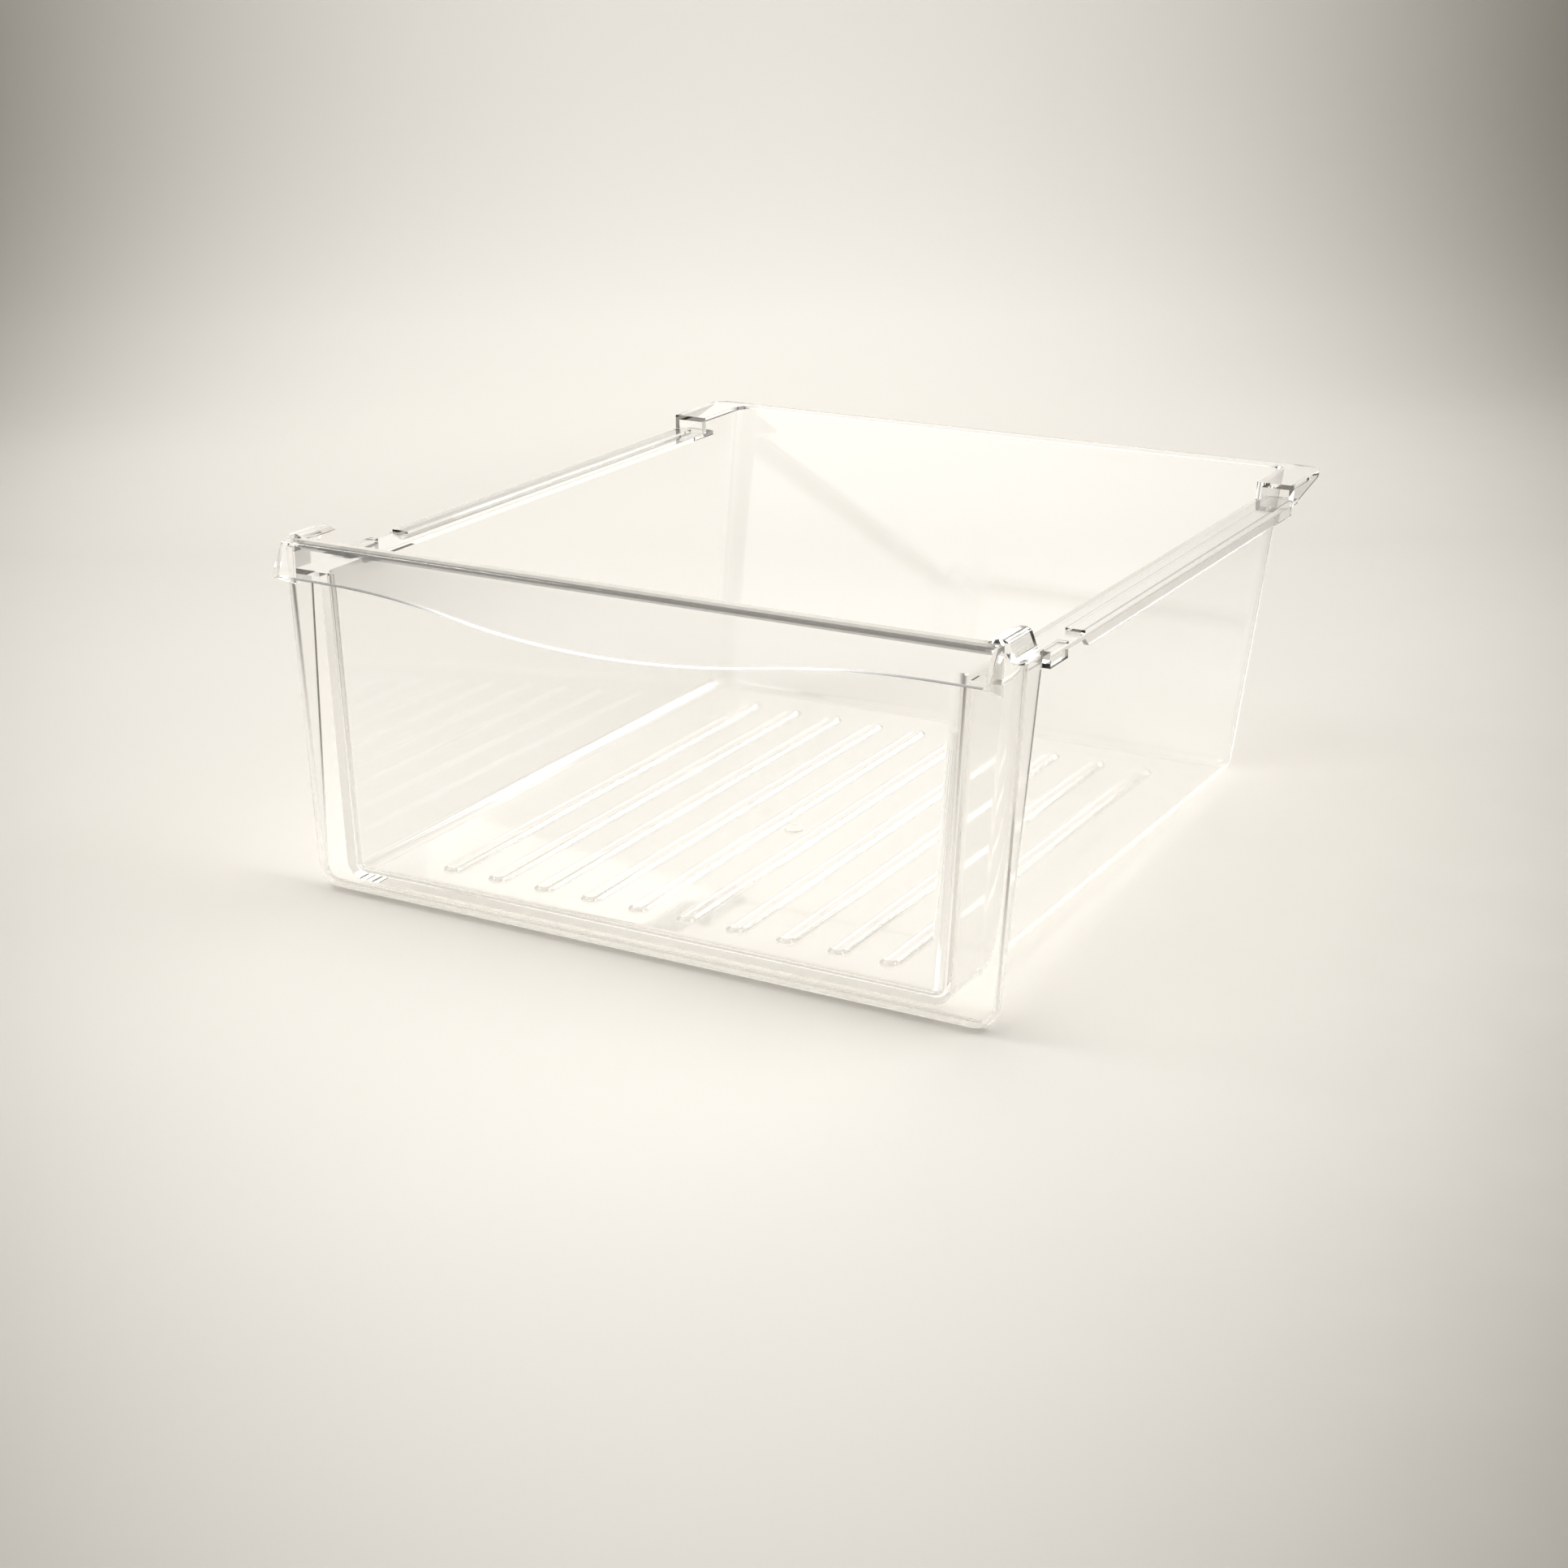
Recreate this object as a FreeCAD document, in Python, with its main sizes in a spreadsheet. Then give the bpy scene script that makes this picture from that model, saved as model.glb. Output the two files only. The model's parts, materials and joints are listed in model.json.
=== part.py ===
import FreeCAD, Part
import math
import os
import Sketcher

NODE = "drawer_pan"
RIDGES = 10

# Driving sizes in millimetres. X is the width, Y runs to the back, Z is up.
SIZES = {
    "wall": (2.4, "wall thickness"),
    "depth": (408.4, "overall depth, lip to rear rim"),
    "panel_top_w": (366.8, "front panel width at its shoulders"),
    "panel_draft": (9.1, "how far the panel narrows to its bottom edge, each side"),
    "panel_set": (21.2, "panel face behind the foremost edge of the lip"),
    "rim_deep": (8.6, "depth of the panel's turned-back rim at the bottom"),
    "rim_flare": (13.0, "how much deeper that rim is at the shoulders"),
    "panel_round": (7.5, "rounding between panel face and rim"),
    "panel_corner": (11.0, "radius of the panel's lower corners"),
    "ear_z": (171.0, "overall height, at the ears"),
    "shoulder_drop": (8.2, "panel's shoulders below the ears"),
    "ear_set": (6.0, "flat top of an ear inside the panel's shoulder"),
    "ear_flat": (4.5, "length of an ear's flat top"),
    "lip_sink": (2.0, "lip's top below the ears"),
    "lip_in": (7.4, "ends of the lip inside the panel's shoulders"),
    "lip_set": (14.8, "top front edge of the lip behind its foremost edge"),
    "lip_drop": (25.4, "drop of the lip at the middle"),
    "lip_bow": (10.8, "how much less the lip drops at its ends"),
    "bow_in": (25.5, "straight stretch at each end of the lip's lower edge"),
    "cheek_drop": (22.0, "drop of the lip's cheeks at the panel"),
    "rail_sink": (16.7, "side rails below the ears"),
    "rim_sink": (8.2, "rear rim below the ears"),
    "floor_z": (8.65, "underside of the floor above the panel's bottom edge"),
    "panel_over": (23.8, "inside of the box at the rim within the panel's shoulders"),
    "box_draft": (6.95, "how far the box narrows to the floor, each side"),
    "rear_lean": (40.3, "run of the sloping rear wall"),
    "rear_corner": (12.0, "outer radius of the rear corners"),
    "floor_round": (8.0, "outer rounding under the floor"),
    "front_corner": (7.0, "inner radius where the side walls meet the panel"),
    "rail_out": (18.4, "outer edge of the rails beside the inside of the box"),
    "rail_notch": (3.6, "notch in the rail between panel and stop tab"),
    "track_w": (9.0, "width of the raised tracks"),
    "track_rise": (1.2, "height of the raised tracks"),
    "skirt": (6.6, "drop of the rail skirts"),
    "skirt_slant": (5.0, "run of the slanting front end of the rail skirts"),
    "rail_start": (98.7, "front end of the tracks behind the foremost edge"),
    "tab_start": (63.0, "front end of the stop tabs behind the foremost edge"),
    "tab_long": (18.0, "length of the stop tabs"),
    "tab_drop": (6.0, "drop of the stop tabs"),
    "wing_out": (19.15, "outer edge of the wings beside the inside of the box"),
    "wing_long": (46.9, "length of the rear hoods and wings"),
    "wing_drop": (10.5, "drop of the wing skirts at their front end"),
    "wing_corner": (9.0, "radius of the wing tips"),
    "rim_out": (1.2, "overhang of the rear rim"),
    "ridge_pitch": (25.4, "spacing of the floor ridges"),
    "ridge_w": (9.8, "width of a ridge"),
    "ridge_rise": (1.6, "height of a ridge"),
    "ridge_slope": (40.0, "slope of the ridge flanks from upright, degrees"),
    "ridge_front": (45.7, "front ends of the ridges behind the foremost edge"),
    "ridge_rear": (70.3, "rear ends of the ridges ahead of the rear rim"),
    "gate_w": (9.0, "diameter of the gate mark"),
    "gate_rise": (0.8, "height of the gate mark"),
    "gate_mid": (173.0, "gate mark behind the foremost edge"),
}

doc = FreeCAD.newDocument("drawer")
sheet = doc.addObject("Spreadsheet::Sheet", "Sizes")
for row, (alias, (number, meaning)) in enumerate(SIZES.items(), start=1):
    sheet.set("A%d" % row, meaning)
    sheet.set("B%d" % row, str(number))
    sheet.setAlias("B%d" % row, alias)
doc.recompute()


class Size:
    """A length together with the sheet formula that drives it."""

    def __init__(self, number, text):
        self.number = number
        self.text = text

    @staticmethod
    def of(other):
        if isinstance(other, Size):
            return other
        return Size(float(other), repr(float(other)))

    def __add__(self, other):
        other = Size.of(other)
        return Size(self.number + other.number, "(%s + %s)" % (self.text, other.text))

    def __sub__(self, other):
        other = Size.of(other)
        return Size(self.number - other.number, "(%s - %s)" % (self.text, other.text))

    def __mul__(self, other):
        other = Size.of(other)
        return Size(self.number * other.number, "(%s * %s)" % (self.text, other.text))

    def __truediv__(self, other):
        other = Size.of(other)
        return Size(self.number / other.number, "(%s / %s)" % (self.text, other.text))

    def __neg__(self):
        return Size(-self.number, "(0 - %s)" % self.text)


def size(alias):
    return Size(SIZES[alias][0], "Sizes." + alias)


def bind(target, path, length):
    target.setExpression(path, length.text)


body = doc.addObject("PartDesign::Body", NODE)
body.Label = NODE
PLANES = {feature.Role: feature for feature in body.Origin.OriginFeatures}
# Sign that turns a position along the plane's axis into an offset along the plane's normal.
NORMALS = {"XY_Plane": 1, "XZ_Plane": -1, "YZ_Plane": 1}


def new_sketch(name, plane, where):
    """A sketch on an origin plane, moved to the given position along that plane's axis."""
    sketch = body.newObject("Sketcher::SketchObject", name)
    sketch.AttachmentSupport = [(PLANES[plane], "")]
    sketch.MapMode = "FlatFace"
    offset = Size.of(where) * NORMALS[plane]
    bind(sketch, "AttachmentOffset.Base.z", offset)
    return sketch


def pin(sketch, geometry, point, across, up):
    """Hold one point of the sketch at a driven position."""
    for kind, length in (("DistanceX", Size.of(across)), ("DistanceY", Size.of(up))):
        if length.number >= 0:
            rule = Sketcher.Constraint(kind, -1, 1, geometry, point, length.number)
        else:
            rule = Sketcher.Constraint(kind, geometry, point, -1, 1, -length.number)
            length = -length
        bind(sketch, "Constraints[%d]" % sketch.addConstraint(rule), length)


def polygon(sketch, points):
    """A closed outline of straight lines through driven points."""
    places = [(Size.of(across), Size.of(up)) for across, up in points]
    spots = [FreeCAD.Vector(across.number, up.number, 0) for across, up in places]
    lines = []
    for index, spot in enumerate(spots):
        following = spots[(index + 1) % len(spots)]
        lines.append(sketch.addGeometry(Part.LineSegment(spot, following), False))
    for index, line in enumerate(lines):
        following = lines[(index + 1) % len(lines)]
        sketch.addConstraint(Sketcher.Constraint("Coincident", line, 2, following, 1))
        pin(sketch, line, 1, *places[index])
    return lines


def mirrored(points):
    """The same outline on the other side of the middle."""
    return [(-Size.of(across), up) for across, up in points]


def extrude(kind, name, sketch, length, backward=False):
    feature = body.newObject("PartDesign::" + kind, name)
    feature.Profile = sketch
    bind(feature, "Length", length)
    feature.Reversed = backward
    doc.recompute()
    return feature


def fillet(name, base, wanted, radius):
    """Round the edges of a feature whose middle and direction pass the given test."""
    names = []
    for index, edge in enumerate(base.Shape.Edges, start=1):
        middle = edge.valueAt((edge.FirstParameter + edge.LastParameter) / 2)
        along = edge.tangentAt((edge.FirstParameter + edge.LastParameter) / 2)
        if wanted(middle, along):
            names.append("Edge%d" % index)
    feature = body.newObject("PartDesign::Fillet", name)
    feature.Base = (base, names)
    bind(feature, "Radius", radius)
    doc.recompute()
    return feature


def close(first, second, slack=0.05):
    return abs(first - second) < slack


wall = size("wall")
front = -size("depth") / 2
rear = size("depth") / 2
face_y = front + size("panel_set")
inside_y = face_y + wall
ear_z = size("ear_z")
lip_z = ear_z - size("lip_sink")
rail_z = ear_z - size("rail_sink")
rim_z = ear_z - size("rim_sink")
floor_top = size("floor_z") + wall

# Front panel: a shallow tray with its open side to the back.
half_top = size("panel_top_w") / 2
half_low = half_top - size("panel_draft")
half_ear = half_top - size("ear_set")
half_ear_in = half_ear - size("ear_flat")
shoulder_z = ear_z - size("shoulder_drop")
shoulder_in = half_top - size("ear_set") * 0.42
panel_right = [
    (half_low, 0),
    (half_top, shoulder_z),
    (shoulder_in, shoulder_z),
    (half_ear, ear_z),
    (half_ear_in, ear_z),
    (half_ear_in - wall * 2, lip_z),
]
panel_sketch = new_sketch("PanelOutline", "XZ_Plane", face_y)
polygon(panel_sketch, panel_right + list(reversed(mirrored(panel_right))))
rim_full = size("rim_deep") + size("rim_flare") * 1.5
extrude("Pad", "Panel", panel_sketch, rim_full, backward=True)


def rim_at(height):
    """Position of the rear edge of the panel's rim, which is deepest at the shoulders."""
    return face_y + size("rim_deep") + size("rim_flare") * height / shoulder_z


below_panel = -wall * 2
above_ears = ear_z + wall * 2
behind_rim = rim_at(above_ears) + rim_full
rim_sketch = new_sketch("RimBackProfile", "YZ_Plane", -half_top - wall)
polygon(rim_sketch, [
    (rim_at(below_panel), below_panel),
    (behind_rim, below_panel),
    (behind_rim, above_ears),
    (rim_at(above_ears), above_ears),
])
extrude("Pocket", "RimBack", rim_sketch, (half_top + wall) * 2, backward=True)

tray_right = [
    (half_low - wall, wall),
    (half_top - wall, shoulder_z - wall),
    (shoulder_in - wall, shoulder_z - wall),
    (half_ear - wall * 1.3, ear_z - wall),
    (half_ear_in - wall * 2, ear_z - wall),
    (half_ear_in - wall * 2, ear_z + wall),
]
tray_sketch = new_sketch("TrayOutline", "XZ_Plane", inside_y)
polygon(tray_sketch, tray_right + list(reversed(mirrored(tray_right))))
tray = extrude("Pocket", "Tray", tray_sketch, rim_full)


def tray_low_corner(middle, along):
    return close(abs(along.y), 1) and close(middle.z, wall.number)


def tray_face_rim(middle, along):
    return close(middle.y, inside_y.number) and middle.z < shoulder_z.number - wall.number - 1


tray = fillet("TrayCorners", tray, tray_low_corner, size("panel_corner") - wall)
tray = fillet("TrayRounding", tray, tray_face_rim, size("panel_round") - wall)


def across_panel(middle, along, half, height):
    """True for an edge through the panel's depth at this half width and height."""
    at_place = close(abs(middle.x), half.number) and close(middle.z, height.number)
    return close(abs(along.y), 1) and at_place


def panel_low_corner(middle, along):
    return close(abs(along.y), 1) and close(middle.z, 0)


def panel_s_bend(middle, along):
    return across_panel(middle, along, shoulder_in, shoulder_z)


def panel_ear_top(middle, along):
    return across_panel(middle, along, half_ear, ear_z)


panel = fillet("PanelCorners", tray, panel_low_corner, size("panel_corner"))
panel = fillet("PanelBends", panel, panel_s_bend, wall)
panel = fillet("PanelEars", panel, panel_ear_top, wall * 1.25)


def panel_face_rim(middle, along):
    return close(middle.y, face_y.number) and middle.z < shoulder_z.number - 1


fillet("PanelRounding", panel, panel_face_rim, size("panel_round"))


def wedge(kind, name, low, near, margin):
    """The tapered block of the box from the given height up to the rim, grown sideways and to the rear."""
    feature = body.newObject("PartDesign::" + kind, name)
    feature.AttachmentSupport = [(PLANES["XZ_Plane"], "")]
    feature.MapMode = "FlatFace"
    limits = {
        "Xmin": -(half_box_low + margin),
        "Xmax": half_box_low + margin,
        "X2min": -(half_box_top + margin),
        "X2max": half_box_top + margin,
        "Ymin": low,
        "Ymax": rim_z,
        "Zmin": -(rear_low + margin),
        "Zmax": -near,
        "Z2min": -(rear_top + margin),
        "Z2max": -near,
    }
    for limit, length in limits.items():
        setattr(feature, limit, length.number)
        bind(feature, limit, length)
    doc.recompute()
    return feature


# Box behind the panel: a tapered shell with a sloping rear wall.
rear_top = rear - size("rim_out") - wall
rear_low = rear_top - size("rear_lean")
half_box_top = half_top - size("panel_over")
half_box_low = half_box_top - size("box_draft")
near_out = face_y + wall / 2
wedge("AdditiveWedge", "BoxOuter", size("floor_z"), near_out, wall)

# Deck over the rear end; the hollow of the box cuts it down to a rim and two wings.
half_wing = half_box_top + size("wing_out")
hood_y = rear - size("wing_long")
deck_sketch = new_sketch("RearDeckOutline", "XY_Plane", rim_z)
polygon(deck_sketch, [(-half_wing, hood_y), (half_wing, hood_y), (half_wing, rear), (-half_wing, rear)])
extrude("Pad", "RearDeck", deck_sketch, wall, backward=True)

box = wedge("SubtractiveWedge", "BoxInner", floor_top, inside_y, Size.of(0))


def inside_box(middle):
    return abs(middle.x) < half_box_top.number + 0.1 and middle.y < rear_top.number + 0.1


half_box_mid = (half_box_low.number + half_box_top.number) / 2
rear_mid = (rear_low.number + rear_top.number) / 2


def upright_at(middle, along, half, across):
    return abs(along.z) > 0.9 and close(abs(middle.x), half, 1) and close(middle.y, across, 1)


def inner_rear_upright(middle, along):
    return upright_at(middle, along, half_box_mid, rear_mid)


def inner_front_upright(middle, along):
    return upright_at(middle, along, half_box_mid, inside_y.number)


def on_floor(middle, along):
    return close(middle.z, floor_top.number) and inside_box(middle) and abs(along.z) < 0.1


box = fillet("BoxInnerRear", box, inner_rear_upright, size("rear_corner") - wall)
box = fillet("BoxInnerFront", box, inner_front_upright, size("front_corner"))
box = fillet("BoxFloorRound", box, on_floor, size("floor_round") - wall)


def rear_upright(middle, along):
    return upright_at(middle, along, half_box_mid + wall.number, rear_mid + wall.number)


def under_floor(middle, along):
    return close(middle.z, size("floor_z").number) and middle.y > rim_at(ear_z).number


box = fillet("BoxRearCorners", box, rear_upright, size("rear_corner"))
fillet("BoxUnderside", box, under_floor, size("floor_round"))

# Between panel and hoods the side walls end at the rails.
side_sketch = new_sketch("SideTopOutline", "XY_Plane", rail_z)
side_cut = half_box_top + wall * 2
polygon(side_sketch, [(-side_cut, inside_y), (side_cut, inside_y), (side_cut, hood_y), (-side_cut, hood_y)])
extrude("Pocket", "SideTop", side_sketch, ear_z - rail_z, backward=True)


def both_sides(sketch, points):
    polygon(sketch, points)
    polygon(sketch, list(reversed(mirrored(points))))


# Side rails: a ledge, a raised track with a skirt on its outer edge, and a stop tab near the front.
half_rail = half_box_top + size("rail_out")
rail_share = (rail_z - floor_top) / (rim_z - floor_top)
half_at_rail = half_box_low + (half_box_top - half_box_low) * rail_share
ledge_in = half_at_rail + wall / 2
ledge_end = hood_y + size("wing_corner")
tab_y = front + size("tab_start")
ledge_sketch = new_sketch("LedgeOutline", "XY_Plane", rail_z)
both_sides(ledge_sketch, [
    (ledge_in, near_out),
    (half_rail - size("rail_notch"), near_out),
    (half_rail - size("rail_notch"), tab_y),
    (half_rail, tab_y),
    (half_rail, ledge_end),
    (ledge_in, ledge_end),
])
extrude("Pad", "Ledge", ledge_sketch, wall, backward=True)

track_in = half_rail - size("track_w")
track_top = rail_z + size("track_rise")
rail_y = front + size("rail_start")
track_sketch = new_sketch("TrackProfile", "XZ_Plane", rail_y)
both_sides(track_sketch, [
    (track_in, rail_z - wall / 2),
    (half_rail, rail_z - wall / 2),
    (half_rail, track_top),
    (track_in, track_top),
])
extrude("Pad", "Track", track_sketch, hood_y - rail_y, backward=True)

for name, start in (("RailSkirtRight", half_rail - wall), ("RailSkirtLeft", -half_rail)):
    sketch = new_sketch(name + "Outline", "YZ_Plane", start)
    polygon(sketch, [
        (rail_y, rail_z - wall / 2),
        (rail_y, rail_z - wall),
        (rail_y + size("skirt_slant"), rail_z - size("skirt")),
        (hood_y, rail_z - size("skirt")),
        (hood_y, rail_z - wall / 2),
    ])
    extrude("Pad", name, sketch, wall)

tab_sketch = new_sketch("TabProfile", "XZ_Plane", tab_y)
both_sides(tab_sketch, [
    (half_rail - wall * 2, rail_z - size("tab_drop")),
    (half_rail, rail_z - size("tab_drop")),
    (half_rail, track_top),
    (half_rail - wall * 2, track_top),
])
extrude("Pad", "Tab", tab_sketch, size("tab_long"), backward=True)

# Wing skirts, tapering out towards the rear.
skirt_end = rear - size("wing_corner")
for name, start in (("WingSkirtRight", half_wing - wall), ("WingSkirtLeft", -half_wing)):
    sketch = new_sketch(name + "Outline", "YZ_Plane", start)
    polygon(sketch, [
        (hood_y, rim_z - size("wing_drop")),
        (skirt_end, rim_z - wall * 1.25),
        (skirt_end, rim_z - wall / 2),
        (hood_y, rim_z - wall / 2),
    ])
    extrude("Pad", name, sketch, wall)


def wing_tip(middle, along):
    return abs(along.z) > 0.9 and close(abs(middle.x), half_wing.number) and close(middle.y, rear.number)


fillet("WingTips", body.Tip, wing_tip, size("wing_corner"))

# Lip: a hood along the top of the panel, leaning forward.
lip_y = front + size("lip_set")
lip_low = lip_z - size("lip_drop")
half_lip = half_top - size("lip_in")
lean = size("lip_set") / size("lip_drop")
plate = wall * 1.13
lip_sketch = new_sketch("LipProfile", "YZ_Plane", -half_lip)
polygon(lip_sketch, [
    (near_out, lip_z),
    (lip_y, lip_z),
    (front, lip_low),
    (front + plate, lip_low),
    (lip_y - lean * wall + plate, lip_z - wall),
    (near_out, lip_z - wall),
])
extrude("Pad", "Lip", lip_sketch, half_lip * 2)

# The lip's lower edge is bowed: two outer arcs and a middle one, each running smoothly into the next.
bow = size("lip_bow")
half_bow = half_lip - size("bow_in")
quarter = half_bow / 2
bow_radius = (quarter * quarter + bow * bow / 4) / bow
bow_mid = lip_low + bow / 2
lip_end = lip_low + bow
below = lip_low - size("lip_drop")
swing = math.asin(quarter.number / bow_radius.number)
up = math.pi / 2
bow_sketch = new_sketch("LipBow", "XZ_Plane", face_y)


def bow_arc(across, height, first, last):
    """An arc of the bow; the sketch runs it from the first angle round to the last."""
    centre = FreeCAD.Vector(across.number, height.number, 0)
    circle = Part.Circle(centre, FreeCAD.Vector(0, 0, 1), bow_radius.number)
    geometry = bow_sketch.addGeometry(Part.ArcOfCircle(circle, first, last), False)
    rule = Sketcher.Constraint("Radius", geometry, bow_radius.number)
    bind(bow_sketch, "Constraints[%d]" % bow_sketch.addConstraint(rule), bow_radius)
    return geometry


def bow_line(start, end):
    ends = [FreeCAD.Vector(Size.of(across).number, height.number, 0) for across, height in (start, end)]
    geometry = bow_sketch.addGeometry(Part.LineSegment(*ends), False)
    pin(bow_sketch, geometry, 1, *start)
    return geometry


outside = half_lip + wall
left_arc = bow_arc(-half_bow, lip_end - bow_radius, up - swing, up)
middle_arc = bow_arc(Size.of(0), lip_low + bow_radius, -up - swing, -up + swing)
right_arc = bow_arc(half_bow, lip_end - bow_radius, up, up + swing)
pin(bow_sketch, middle_arc, 1, -quarter, bow_mid)
pin(bow_sketch, middle_arc, 2, quarter, bow_mid)
right_line = bow_line((half_bow, lip_end), (outside, lip_end))
right_side = bow_line((outside, lip_end), (outside, below))
bottom_line = bow_line((outside, below), (-outside, below))
left_side = bow_line((-outside, below), (-outside, lip_end))
left_line = bow_line((-outside, lip_end), (-half_bow, lip_end))
pin(bow_sketch, left_line, 2, -half_bow, lip_end)


def meet(first, first_end, second, second_end):
    """Join two pieces of the bow at the given ends."""
    bow_sketch.addConstraint(Sketcher.Constraint("Coincident", first, first_end, second, second_end))


meet(left_line, 2, left_arc, 2)
meet(left_arc, 1, middle_arc, 1)
meet(middle_arc, 2, right_arc, 2)
meet(right_arc, 1, right_line, 1)
meet(right_line, 2, right_side, 1)
meet(right_side, 2, bottom_line, 1)
meet(bottom_line, 2, left_side, 1)
meet(left_side, 2, left_line, 1)
extrude("Pocket", "LipEdge", bow_sketch, size("panel_set") + wall, backward=True)

# Cheeks close the ends of the lip and run down to the panel.
for name, start in (("CheekRight", half_lip - wall), ("CheekLeft", -half_lip)):
    sketch = new_sketch(name + "Outline", "YZ_Plane", start)
    polygon(sketch, [
        (near_out, lip_z - size("cheek_drop")),
        (near_out, lip_z - wall / 2),
        (lip_y - lean * wall / 2, lip_z - wall / 2),
        (lip_y - lean * (lip_z - lip_end), lip_end),
    ])
    extrude("Pad", name, sketch, wall)


def lip_brow(middle, along):
    return close(abs(along.x), 1) and close(middle.y, lip_y.number) and close(middle.z, lip_z.number)


fillet("LipBrow", body.Tip, lip_brow, wall * 0.8)

# Floor ridges with rounded ends and sloping flanks, repeated across the floor.
ridge_x = -size("ridge_pitch") * ((RIDGES - 1) / 2)
ridge_radius = size("ridge_w") / 2
ridge_near = front + size("ridge_front") + ridge_radius
ridge_far = rear - size("ridge_rear") - ridge_radius
ridge_sketch = new_sketch("RidgeOutline", "XY_Plane", floor_top)
ends = []
for centre_y, first, last in ((ridge_far, 0, math.pi), (ridge_near, math.pi, 2 * math.pi)):
    centre = FreeCAD.Vector(ridge_x.number, centre_y.number, 0)
    circle = Part.Circle(centre, FreeCAD.Vector(0, 0, 1), ridge_radius.number)
    ends.append(ridge_sketch.addGeometry(Part.ArcOfCircle(circle, first, last), False))
    pin(ridge_sketch, ends[-1], 3, ridge_x, centre_y)
    rule = Sketcher.Constraint("Radius", ends[-1], ridge_radius.number)
    bind(ridge_sketch, "Constraints[%d]" % ridge_sketch.addConstraint(rule), ridge_radius)
far_end, near_end = ends
for first, second in (((far_end, 2), (near_end, 1)), ((near_end, 2), (far_end, 1))):
    corners = [ridge_sketch.getPoint(*first), ridge_sketch.getPoint(*second)]
    flank = ridge_sketch.addGeometry(Part.LineSegment(*corners), False)
    ridge_sketch.addConstraint(Sketcher.Constraint("Tangent", first[0], first[1], flank, 1))
    ridge_sketch.addConstraint(Sketcher.Constraint("Tangent", flank, 2, second[0], second[1]))
ridge = extrude("Pad", "Ridge", ridge_sketch, size("ridge_rise"))
ridge.setExpression("TaperAngle", "0 - Sizes.ridge_slope")
ridges = body.newObject("PartDesign::LinearPattern", "Ridges")
ridges.Originals = [ridge]
ridges.Direction = (ridge_sketch, ["H_Axis"])
bind(ridges, "Length", size("ridge_pitch") * (RIDGES - 1))
ridges.Occurrences = RIDGES
body.Tip = ridges
doc.recompute()

# Gate mark left by the moulding, between the two middle ridges.
gate_sketch = new_sketch("GateOutline", "XY_Plane", floor_top)
gate_y = front + size("gate_mid")
gate_radius = size("gate_w") / 2
gate_centre = FreeCAD.Vector(0, gate_y.number, 0)
circle = Part.Circle(gate_centre, FreeCAD.Vector(0, 0, 1), gate_radius.number)
gate_round = gate_sketch.addGeometry(circle, False)
pin(gate_sketch, gate_round, 3, 0, gate_y)
rule = Sketcher.Constraint("Radius", gate_round, gate_radius.number)
bind(gate_sketch, "Constraints[%d]" % gate_sketch.addConstraint(rule), gate_radius)
extrude("Pad", "Gate", gate_sketch, size("gate_rise"))

doc.recompute()
for item in doc.Objects:
    if "Invalid" in item.State or "Error" in item.State:
        raise RuntimeError("%s did not build" % item.Name)
shape = body.Shape
if shape.isNull() or not shape.isValid() or len(shape.Solids) != 1:
    raise RuntimeError("%s is not one sound solid" % NODE)
os.makedirs("parts", exist_ok=True)
shape.exportStep("parts/%s.step" % NODE)
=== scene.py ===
"""Clear moulded crisper drawer of a fridge, standing on a pale studio floor.

Lengths are in metres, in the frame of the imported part: X to the right, Y to the back, Z up.
"""

import json
import logging
import math
from dataclasses import dataclass
from enum import Enum
from typing import Dict, List, Tuple

import bmesh
import bpy
from mathutils import Matrix, Vector

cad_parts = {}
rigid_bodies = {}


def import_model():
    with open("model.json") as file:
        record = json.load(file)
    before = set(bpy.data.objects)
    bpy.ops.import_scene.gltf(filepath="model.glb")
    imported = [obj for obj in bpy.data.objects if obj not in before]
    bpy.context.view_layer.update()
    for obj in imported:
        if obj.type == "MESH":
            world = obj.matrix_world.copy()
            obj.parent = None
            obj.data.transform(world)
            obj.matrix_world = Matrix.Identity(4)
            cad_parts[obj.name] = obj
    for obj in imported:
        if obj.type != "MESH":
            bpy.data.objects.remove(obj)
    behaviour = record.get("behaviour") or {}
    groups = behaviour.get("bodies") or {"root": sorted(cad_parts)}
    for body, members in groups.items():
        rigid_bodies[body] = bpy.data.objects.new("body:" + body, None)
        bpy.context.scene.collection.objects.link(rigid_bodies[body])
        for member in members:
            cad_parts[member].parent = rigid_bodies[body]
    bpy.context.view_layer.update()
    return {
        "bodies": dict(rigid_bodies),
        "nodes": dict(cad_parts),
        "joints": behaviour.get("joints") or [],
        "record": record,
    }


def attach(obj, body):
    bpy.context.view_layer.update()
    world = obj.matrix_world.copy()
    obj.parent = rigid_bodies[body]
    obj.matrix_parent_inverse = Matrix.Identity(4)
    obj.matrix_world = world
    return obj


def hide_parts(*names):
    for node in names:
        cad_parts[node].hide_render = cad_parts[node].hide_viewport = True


LOG = logging.getLogger("crisper_drawer")

Colour = Tuple[float, float, float, float]
Point = Tuple[float, float, float]
Span = Tuple[float, float]

NODE = "drawer_pan"
FADE_IN: Span = (0.0, 1.0)


class Socket(Enum):
    """Kinds of socket that the shared node groups use."""

    VALUE = "NodeSocketFloat"
    VECTOR = "NodeSocketVector"


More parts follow.
